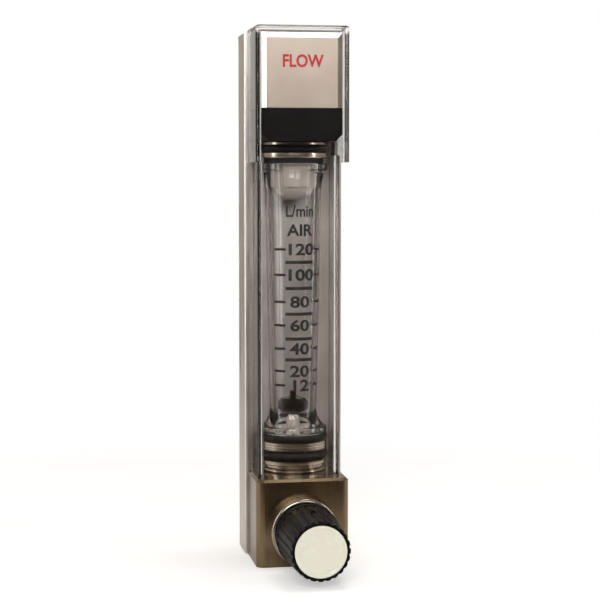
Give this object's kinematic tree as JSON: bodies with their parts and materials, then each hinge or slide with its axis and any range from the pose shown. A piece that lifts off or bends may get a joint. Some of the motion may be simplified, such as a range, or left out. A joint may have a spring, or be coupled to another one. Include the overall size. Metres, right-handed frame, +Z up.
{
  "type": "rotameter",
  "caption": "Glass tube flow meter: a float rides in a tapered tube between two metal end blocks, with a needle valve knob in front and threaded ports behind.",
  "frame": {"origin": "on the lower block's underside, straight below the metering tube's axis", "axes": "+Z up along the tube, +Y towards the back and the ports, -Y towards the knob, +X to the right seen from the front"},
  "size_m": [0.0406, 0.0862, 0.218],
  "materials": {
    "channel_aluminium": "satin anodised extrusion",
    "satin_steel": "satin",
    "turned_steel": "turned",
    "screw_steel": "plated",
    "clear_acrylic": "clear",
    "plate_aluminium": "satin",
    "black_nylon": "moulded",
    "tube_glass": "clear",
    "black_float": "turned",
    "pale_ptfe": "turned",
    "black_rubber": "moulded",
    "knob_disc_white": "moulded"
  },
  "bodies": {
    "meter_body": {"back_channel": "channel_aluminium", "lower_block": "satin_steel", "upper_block": "satin_steel", "lower_fitting": "turned_steel", "upper_fitting": "turned_steel", "valve_bonnet": "turned_steel", "clamp_plug": "turned_steel", "lower_block_screws": "screw_steel", "upper_block_screws": "screw_steel", "front_cover": "clear_acrylic", "top_cap": "clear_acrylic", "label_plate": "plate_aluminium", "upper_collar": "black_nylon", "metering_tube": "tube_glass", "lower_float_stop": "pale_ptfe", "upper_float_stop": "pale_ptfe", "lower_fitting_o_ring": "black_rubber", "lower_tube_gasket": "black_rubber", "lower_spigot_o_ring": "black_rubber", "upper_fitting_o_ring": "black_rubber", "upper_tube_gasket": "black_rubber", "upper_spigot_o_ring": "black_rubber", "clamp_plug_o_ring": "black_rubber", "bonnet_seal": "black_rubber", "spindle_o_ring": "black_rubber"},
    "float": {"metering_float": "black_float"},
    "needle": {"valve_needle": "turned_steel"},
    "knob": {"valve_spindle": "turned_steel", "control_knob": "black_nylon", "knob_cap": "knob_disc_white", "knob_grub_screw": "screw_steel"}
  },
  "joints": [
    {"name": "float_rise", "type": "slide", "parent": "meter_body", "child": "float", "axis": [0, 0, 1], "range_m": [0, 0.079]},
    {"name": "needle_travel", "type": "slide", "parent": "meter_body", "child": "needle", "axis": [0, -1, 0], "range_m": [0, 0.0038]},
    {"name": "knob_turn", "type": "hinge", "parent": "needle", "child": "knob", "pos_m": [0, -0.05, 0.0148], "axis": [0, -1, 0], "range_deg": [0, 1620]}
  ],
  "couplings": [
    {"joint": "needle_travel", "follows": "knob_turn", "m_per_rad": 0.0001273}
  ]
}
